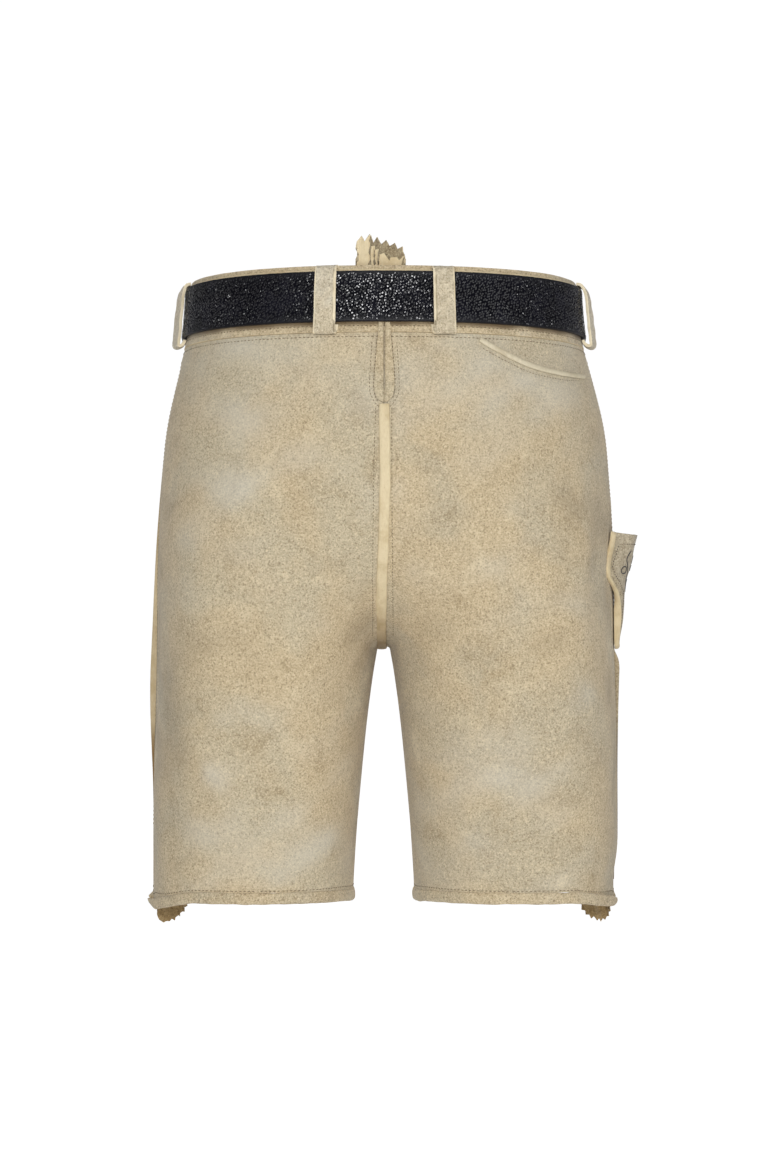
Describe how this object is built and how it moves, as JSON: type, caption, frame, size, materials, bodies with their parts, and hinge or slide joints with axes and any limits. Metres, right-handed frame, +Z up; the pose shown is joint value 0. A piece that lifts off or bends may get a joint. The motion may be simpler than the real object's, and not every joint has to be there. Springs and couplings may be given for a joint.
{
  "type": "lederhosen",
  "caption": "Short suede breeches in their worn, hollow shape, with rolled hems, a knife pocket, a drop flap and a pebbled leather belt fastened through its loops.",
  "frame": {"origin": "middle of the waist opening, at the belt's mid height", "axes": "+Z up out of the waist, +X towards the wearer's right, -Y towards the wearer's back"},
  "size_m": [0.4011, 0.2611, 0.5569],
  "materials": {
    "suede": "soft mottled grey-beige suede",
    "cut_edge": "pale cream cut edge of the hide",
    "flesh_side": "tan-brown rough flesh side",
    "black_leather": "black leather pressed with small glossy bumps",
    "dark_metal": "dull steel",
    "horn": "polished brown horn"
  },
  "bodies": {
    "root": {"back_panel_left": "suede", "back_panel_right": "suede", "front_panel_left": "suede", "front_panel_right": "suede", "waistband_left": "suede", "waistband_right": "suede", "hem_band_left": "suede", "hem_band_right": "suede", "side_piping_left": "cut_edge", "side_piping_right": "cut_edge", "centre_back_welt": "cut_edge", "back_tab": "suede", "back_pocket_binding": "cut_edge", "back_tongue": "cut_edge", "knife_pocket": "suede", "knife_pocket_binding": "cut_edge", "hem_tongue_left": "flesh_side", "hem_tongue_right": "flesh_side", "belt_loop_back_left": "suede", "belt_loop_back_right": "suede", "belt_loop_side_left": "suede", "belt_loop_side_right": "suede", "belt_loop_front_left": "suede", "belt_loop_front_right": "suede", "belt_strap": "black_leather", "belt_keeper": "black_leather", "belt_buckle_frame": "dark_metal", "belt_buckle_prong": "dark_metal", "drop_flap": "suede", "flap_button_left": "horn", "flap_button_right": "horn"}
  },
  "joints": []
}
